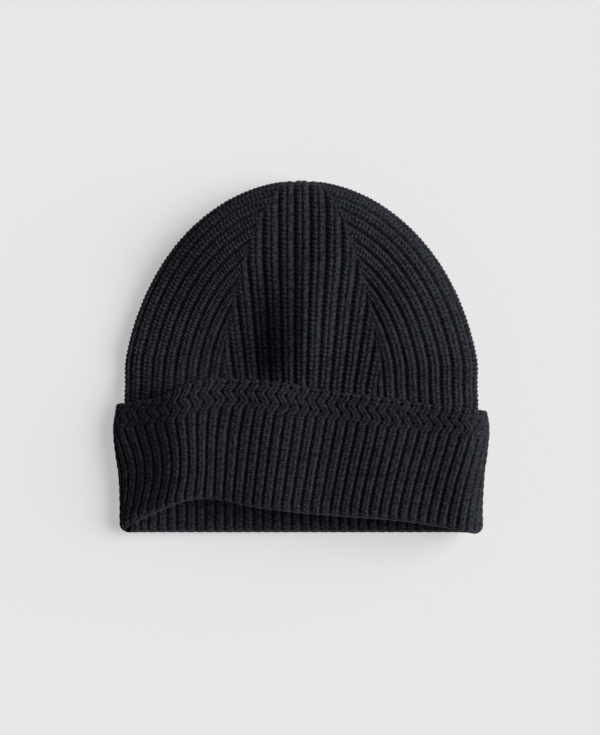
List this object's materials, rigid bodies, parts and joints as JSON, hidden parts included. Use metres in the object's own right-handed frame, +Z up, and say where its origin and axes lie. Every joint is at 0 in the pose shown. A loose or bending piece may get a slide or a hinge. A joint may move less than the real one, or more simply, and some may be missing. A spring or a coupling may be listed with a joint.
{
  "type": "knit beanie",
  "caption": "Cuffed rib-knit winter hat lying flat, with a zigzag band along its turned-up cuff and a four-panel crown.",
  "frame": {"origin": "middle of the hat's footprint on the surface that it lies on", "axes": "+X across the hat's width, +Y from the head opening to the top of the crown, +Z up from the surface"},
  "size_m": [0.226, 0.212, 0.0328],
  "materials": {
    "crown_knit": "matte",
    "cuff_knit": "matte",
    "band_knit": "matte",
    "lining_side_knit": "matte",
    "seam_yarn": "matte",
    "label_ribbon": "matte"
  },
  "bodies": {
    "crown": {"crown_front": "crown_knit", "crown_back": "crown_knit", "crown_left": "crown_knit", "crown_right": "crown_knit", "seam_front_left": "seam_yarn", "seam_front_right": "seam_yarn", "seam_back_left": "seam_yarn", "seam_back_right": "seam_yarn", "closing_yarn": "seam_yarn", "back_seam_crown": "seam_yarn", "back_seam_wall": "seam_yarn", "inner_wall": "lining_side_knit"},
    "fold": {"fold_roll": "cuff_knit", "cuff_wall": "cuff_knit"},
    "cuff_edge": {"zigzag_band": "band_knit", "edge_chain": "seam_yarn"},
    "label": {"care_label": "label_ribbon"}
  },
  "joints": [
    {"name": "cuff_fold_slide", "type": "slide", "parent": "crown", "child": "fold", "axis": [0, -1, 0], "range_m": [0, 0.02], "deforming": ["inner_wall", "back_seam_wall"]},
    {"name": "cuff_edge_slide", "type": "slide", "parent": "fold", "child": "cuff_edge", "axis": [0, -1, 0], "range_m": [0, 0.02], "deforming": ["cuff_wall"]},
    {"name": "label_hinge", "type": "hinge", "parent": "crown", "child": "label", "pos_m": [0.0018, 0.019, 0.005], "axis": [0, -1, 0], "range_deg": [0, 30]}
  ],
  "couplings": [
    {"joint": "cuff_edge_slide", "follows": "cuff_fold_slide", "ratio": 1}
  ]
}
